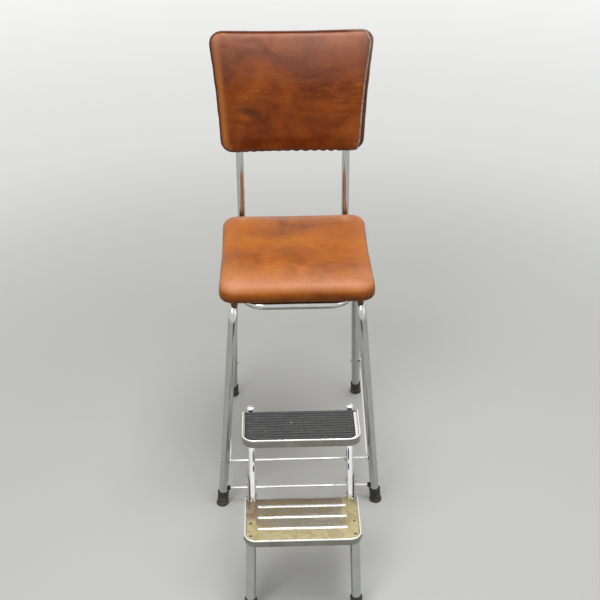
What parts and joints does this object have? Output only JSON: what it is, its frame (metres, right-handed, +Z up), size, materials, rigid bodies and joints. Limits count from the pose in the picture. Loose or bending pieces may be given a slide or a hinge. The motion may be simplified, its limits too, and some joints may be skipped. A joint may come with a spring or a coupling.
{
  "type": "folding step stool chair",
  "caption": "Chromed tube kitchen chair with padded vinyl seat and back; a two-step unit turns out from under the seat on a cross rod.",
  "frame": {"origin": "on the floor, under the middle of the bounding box of the whole chair with its steps out", "axes": "+Z is up, the chair and its steps face -Y, +X is the chair's right-hand side in the picture"},
  "size_m": [0.4148, 0.8384, 1.0766],
  "materials": {
    "chrome": "polished",
    "zinc": "satin",
    "pressed_steel": "satin",
    "vinyl": "satin",
    "plywood": "matte",
    "rubber": "matte",
    "mat": "matte"
  },
  "bodies": {
    "frame": {"side_frame_left": "chrome", "foot_front_left": "rubber", "foot_rear_left": "rubber", "side_frame_right": "chrome", "foot_front_right": "rubber", "foot_rear_right": "rubber", "back_post_plug_left": "rubber", "back_post_plug_right": "rubber", "back_frame": "chrome", "seat_screw_leg_front_left": "zinc", "seat_screw_runner_front_left": "zinc", "seat_screw_leg_rear_left": "zinc", "seat_screw_runner_rear_left": "zinc", "seat_screw_leg_front_right": "zinc", "seat_screw_runner_front_right": "zinc", "seat_screw_leg_rear_right": "zinc", "seat_screw_runner_rear_right": "zinc", "seat_board": "plywood", "seat_pad": "vinyl", "back_screw_lower_left": "zinc", "back_screw_upper_left": "zinc", "back_screw_lower_right": "zinc", "back_screw_upper_right": "zinc", "back_board": "plywood", "back_pad": "vinyl", "upper_cross_rod": "chrome", "lower_cross_rod": "chrome", "lower_rod_bush_left": "rubber", "lower_rod_bush_right": "rubber", "side_rod_left": "chrome", "side_rod_bolt_left": "zinc", "side_rod_right": "chrome", "side_rod_bolt_right": "zinc", "rod_collar_left": "zinc", "rod_collar_right": "zinc"},
    "step_unit": {"upper_tread_rivet_left": "zinc", "upper_tread_rivet_right": "zinc", "upper_tread": "pressed_steel", "upper_mat": "mat", "lower_tread_rivet_left": "zinc", "lower_tread_rivet_right": "zinc", "lower_tread": "pressed_steel", "step_leg_left": "chrome", "step_foot_left": "rubber", "step_leg_rivet_left": "zinc", "step_leg_right": "chrome", "step_foot_right": "rubber", "step_leg_rivet_right": "zinc", "step_post_left": "chrome", "step_post_right": "chrome", "arm_bolt_lower_left": "zinc", "arm_bolt_upper_left": "zinc", "pivot_arm_left": "zinc", "arm_bolt_lower_right": "zinc", "arm_bolt_upper_right": "zinc", "pivot_arm_right": "zinc"}
  },
  "joints": [
    {"name": "step_flip", "type": "hinge", "parent": "frame", "child": "step_unit", "pos_m": [0, -0.0399, 0.129], "axis": [-1, 0, 0], "range_deg": [0, 140]}
  ]
}
